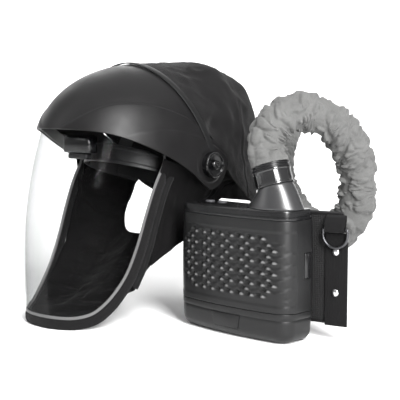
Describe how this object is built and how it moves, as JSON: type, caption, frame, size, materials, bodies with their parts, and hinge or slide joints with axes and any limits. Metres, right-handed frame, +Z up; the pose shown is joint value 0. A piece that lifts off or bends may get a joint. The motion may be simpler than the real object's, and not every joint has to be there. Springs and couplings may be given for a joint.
{
  "type": "powered air respirator",
  "caption": "Grinding helmet with clear wrap-round visor, fabric hood and face seal, fed by a cloth-covered hose from a belt-worn filter blower.",
  "frame": {"origin": "centre of the blower's foot on the floor, with helmet and blower standing as displayed", "axes": "+Z up, -Y toward the front of both the helmet and the blower, +X from the helmet toward the blower"},
  "size_m": [0.4671, 0.4323, 0.3546],
  "materials": {
    "body_plastic": "fine satin charcoal moulding",
    "lid_plastic": "smooth black moulding",
    "panel_plastic": "glossy black membrane",
    "button_plastic": "soft grey buttons",
    "nut_plastic": "polished dark plastic",
    "black_plastic": "plain black moulding",
    "strap_plastic": "flexible black band plastic",
    "duct_plastic": "smooth black duct",
    "knob_plastic": "polished black",
    "shell_plastic": "matte charcoal shell",
    "band_plastic": "mid-grey edging",
    "visor_clear": "clear polycarbonate",
    "trim_fabric": "padded black trim",
    "seal_fabric": "thin black cloth",
    "hood_fabric": "black twill",
    "hose_fabric": "light grey flame-retardant cloth",
    "hose_rubber": "black flexible tube",
    "webbing": "black woven webbing",
    "pad_mesh": "black spacer mesh",
    "rivet_steel": "polished domes",
    "ring_metal": "dark coated wire",
    "bolt_steel": "plain steel",
    "fan_plastic": "grey fan moulding",
    "board": "green laminate",
    "filter_media": "off-white pleated media"
  },
  "bodies": {
    "base": {"blower_housing": "body_plastic", "fan_volute": "fan_plastic", "fan_motor": "bolt_steel", "circuit_board": "board", "top_lid": "lid_plastic", "control_panel": "panel_plastic", "outlet_cone": "lid_plastic", "hose_cuff_blower": "hose_rubber", "hose_clamp_blower": "black_plastic", "hose_tube": "hose_rubber", "hose_cover": "hose_fabric", "hose_cuff_helmet": "hose_rubber", "inlet_elbow": "black_plastic", "air_duct": "duct_plastic", "belt_pad": "pad_mesh", "belt_bracket": "black_plastic", "belt_strip_right": "webbing", "belt_strip_left": "webbing", "d_ring_loop_right": "webbing", "d_ring_loop_left": "webbing", "belt_rivet_right_upper": "rivet_steel", "belt_rivet_right_lower": "rivet_steel", "belt_rivet_left_upper": "rivet_steel", "belt_rivet_left_lower": "rivet_steel", "waist_strap": "webbing", "buckle_female": "black_plastic", "brow_shell": "shell_plastic", "hood_band": "band_plastic", "visor": "visor_clear", "visor_trim": "trim_fabric", "face_seal": "seal_fabric", "hood": "hood_fabric", "pivot_bolt_left": "bolt_steel", "pivot_bolt_right": "bolt_steel"},
    "headgear": {"headband_front": "strap_plastic", "sweatband": "trim_fabric", "side_arm_left": "black_plastic", "side_arm_right": "black_plastic", "crown_strap": "strap_plastic"},
    "nape": {"nape_band": "strap_plastic", "ratchet_housing": "black_plastic"},
    "ratchet": {"ratchet_knob": "black_plastic"},
    "knob_left": {"pivot_knob_left": "knob_plastic"},
    "knob_right": {"pivot_knob_right": "knob_plastic"},
    "battery": {"battery_pack": "body_plastic"},
    "battery_release": {"battery_latch": "body_plastic"},
    "cover": {"filter_cover": "body_plastic"},
    "filter": {"particle_filter": "filter_media"},
    "screen": {"spark_screen": "bolt_steel"},
    "latch_right": {"cover_latch_right": "lid_plastic"},
    "latch_left": {"cover_latch_left": "lid_plastic"},
    "power": {"power_button": "button_plastic"},
    "airflow": {"airflow_button": "button_plastic"},
    "fan": {"fan_impeller": "fan_plastic"},
    "nut_blower": {"hose_nut_blower": "nut_plastic"},
    "nut_helmet": {"hose_nut_helmet": "nut_plastic"},
    "ring_right": {"d_ring_right": "ring_metal"},
    "ring_left": {"d_ring_left": "ring_metal"},
    "buckle": {"buckle_male": "black_plastic"}
  },
  "joints": [
    {"name": "headgear_tilt", "type": "hinge", "parent": "base", "child": "headgear", "pos_m": [-0.207, 0.028, 0.208], "axis": [1, 0, 0], "range_deg": [0, 50]},
    {"name": "nape_slide", "type": "slide", "parent": "headgear", "child": "nape", "axis": [0, -0.9613, 0.2756], "range_m": [0, 0.018]},
    {"name": "ratchet_spin", "type": "hinge", "parent": "nape", "child": "ratchet", "pos_m": [-0.207, 0.11024, 0.17183], "axis": [0, 0.9613, -0.2756], "range_deg": [0, 150]},
    {"name": "knob_left_turn", "type": "hinge", "parent": "base", "child": "knob_left", "pos_m": [-0.085, 0.028, 0.208], "axis": [1, 0, 0], "range_deg": [0, 180]},
    {"name": "knob_right_turn", "type": "hinge", "parent": "base", "child": "knob_right", "pos_m": [-0.329, 0.028, 0.208], "axis": [-1, 0, 0], "range_deg": [0, 180]},
    {"name": "battery_slide", "type": "slide", "parent": "base", "child": "battery", "axis": [0, 0, -1], "range_m": [0, 0.05]},
    {"name": "battery_release_press", "type": "slide", "parent": "battery", "child": "battery_release", "axis": [0, 1, 0], "range_m": [0, 0.0025]},
    {"name": "cover_lift_off", "type": "slide", "parent": "base", "child": "cover", "axis": [0, -1, 0], "range_m": [0, 0.09]},
    {"name": "filter_draw", "type": "slide", "parent": "base", "child": "filter", "axis": [0, -1, 0], "range_m": [0, 0.045]},
    {"name": "screen_draw", "type": "slide", "parent": "base", "child": "screen", "axis": [0, -1, 0], "range_m": [0, 0.0675]},
    {"name": "latch_right_press", "type": "slide", "parent": "base", "child": "latch_right", "axis": [-1, 0, 0], "range_m": [0, 0.002]},
    {"name": "latch_left_press", "type": "slide", "parent": "base", "child": "latch_left", "axis": [1, 0, 0], "range_m": [0, 0.002]},
    {"name": "power_press", "type": "slide", "parent": "base", "child": "power", "axis": [0, 0, -1], "range_m": [0, 0.0012]},
    {"name": "airflow_press", "type": "slide", "parent": "base", "child": "airflow", "axis": [0, 0, -1], "range_m": [0, 0.0012]},
    {"name": "fan_spin", "type": "hinge", "parent": "base", "child": "fan", "pos_m": [-0.015, 0, 0.095], "axis": [0, 1, 0], "continuous": true},
    {"name": "nut_blower_turn", "type": "hinge", "parent": "base", "child": "nut_blower", "pos_m": [0.0541, -0.007, 0.1884], "axis": [-0.309, 0, 0.9511], "range_deg": [0, 60]},
    {"name": "nut_helmet_turn", "type": "hinge", "parent": "base", "child": "nut_helmet", "pos_m": [-0.18874, 0.21958, 0.22669], "axis": [0.7931, 0.2588, 0.5513], "range_deg": [0, 60]},
    {"name": "ring_right_swing", "type": "hinge", "parent": "base", "child": "ring_right", "pos_m": [0.11551, 0.03228, 0.138], "axis": [-0.97, -0.2433, 0], "range_deg": [0, 50]},
    {"name": "ring_left_swing", "type": "hinge", "parent": "base", "child": "ring_left", "pos_m": [-0.11551, 0.03228, 0.138], "axis": [-0.97, 0.2433, 0], "range_deg": [0, 50]},
    {"name": "buckle_draw", "type": "slide", "parent": "base", "child": "buckle", "axis": [1, 0, 0], "range_m": [0, 0.022]}
  ],
  "couplings": [
    {"joint": "ratchet_spin", "follows": "nape_slide", "rad_per_m": 140.6},
    {"joint": "filter_draw", "follows": "cover_lift_off", "ratio": 0.5},
    {"joint": "screen_draw", "follows": "cover_lift_off", "ratio": 0.75}
  ]
}
